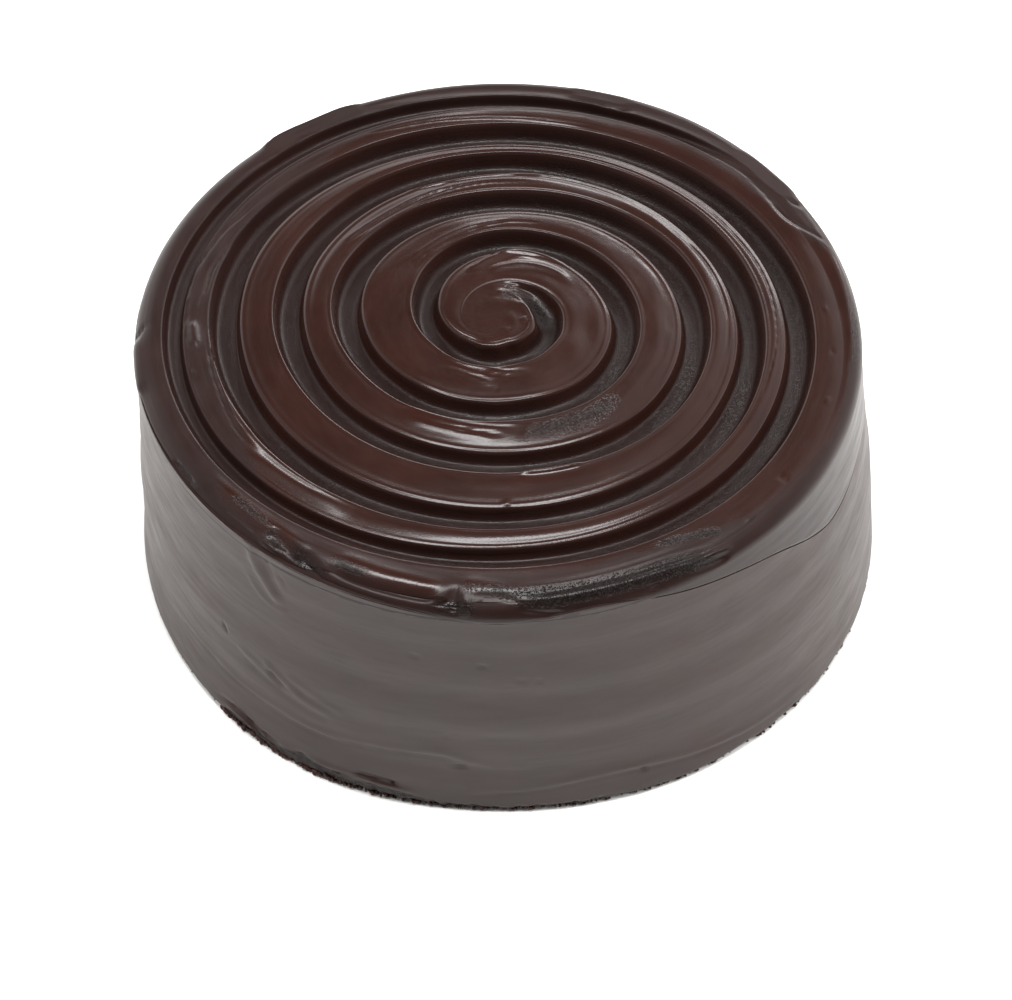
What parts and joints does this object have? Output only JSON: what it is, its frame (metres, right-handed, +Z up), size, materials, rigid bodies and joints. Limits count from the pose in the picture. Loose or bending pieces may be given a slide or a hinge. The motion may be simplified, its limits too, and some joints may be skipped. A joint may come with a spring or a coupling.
{
  "type": "chocolate fudge cake",
  "caption": "Whole round chocolate fudge cake, coated on the side and spread on top with a glossy fudge layer drawn into a spiral groove.",
  "frame": {"origin": "centre of the foot of the cake, on the surface it stands on", "axes": "+Z up, front of the cake towards -Y, +X to the right seen from the front"},
  "size_m": [0.2129, 0.2139, 0.0783],
  "materials": {
    "fudge_side": "satin fudge smoothed with a spatula",
    "fudge_face": "glossy set fudge"
  },
  "bodies": {
    "root": {"cake": "fudge_side", "fudge_top": "fudge_face"}
  },
  "joints": []
}
